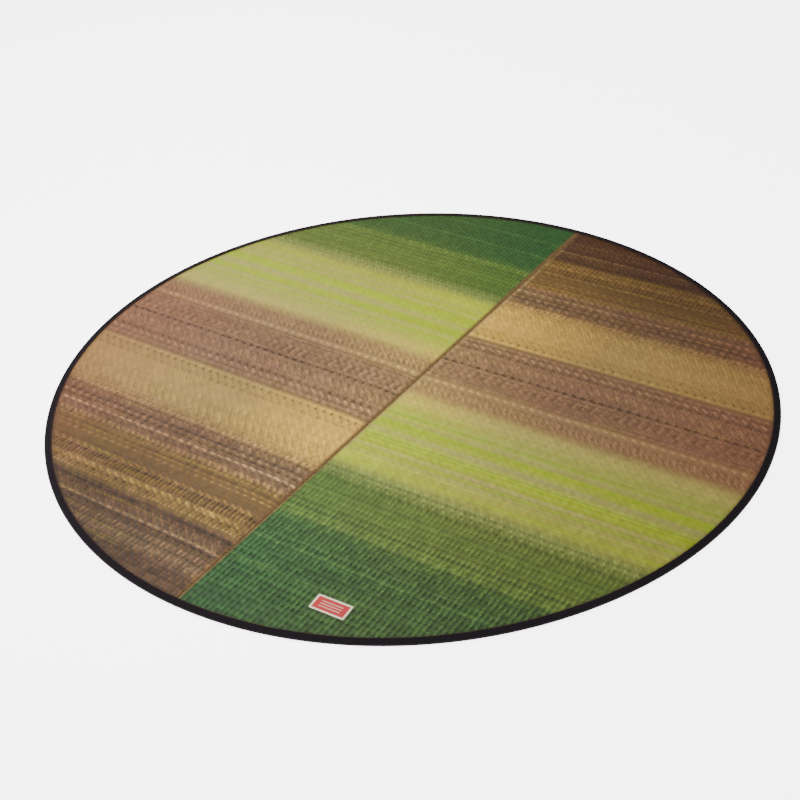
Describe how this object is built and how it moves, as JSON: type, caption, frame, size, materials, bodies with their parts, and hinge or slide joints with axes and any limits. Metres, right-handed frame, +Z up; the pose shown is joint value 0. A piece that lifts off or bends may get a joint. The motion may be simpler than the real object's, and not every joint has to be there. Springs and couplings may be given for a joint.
{
  "type": "round woven rush rug",
  "caption": "Flat round rug of woven rush half-discs laced edge to edge, with shaded cross bands, a folded cloth binding round the rim and a small sewn label.",
  "frame": {"origin": "centre of the rug's circle, on the surface it lies on", "axes": "+Z up, out of the face that is walked on; X along the rushes, square to the join; Y nearly along the join, with the left panel's green end towards +Y"},
  "size_m": [1.7498, 1.7596, 0.0084],
  "materials": {
    "rush_left": "woven dyed rush, bands from brown through tan and pale lime to green",
    "rush_right": "the same woven rush, turned half round",
    "join_cotton": "dark brown twisted thread",
    "binding_cloth": "dark navy-violet cotton tape, matt",
    "label_cloth": "cream woven label with a plain red block"
  },
  "bodies": {
    "root": {"panel_left": "rush_left", "panel_right": "rush_right", "join_thread": "join_cotton", "binding": "binding_cloth", "label": "label_cloth"}
  },
  "joints": []
}
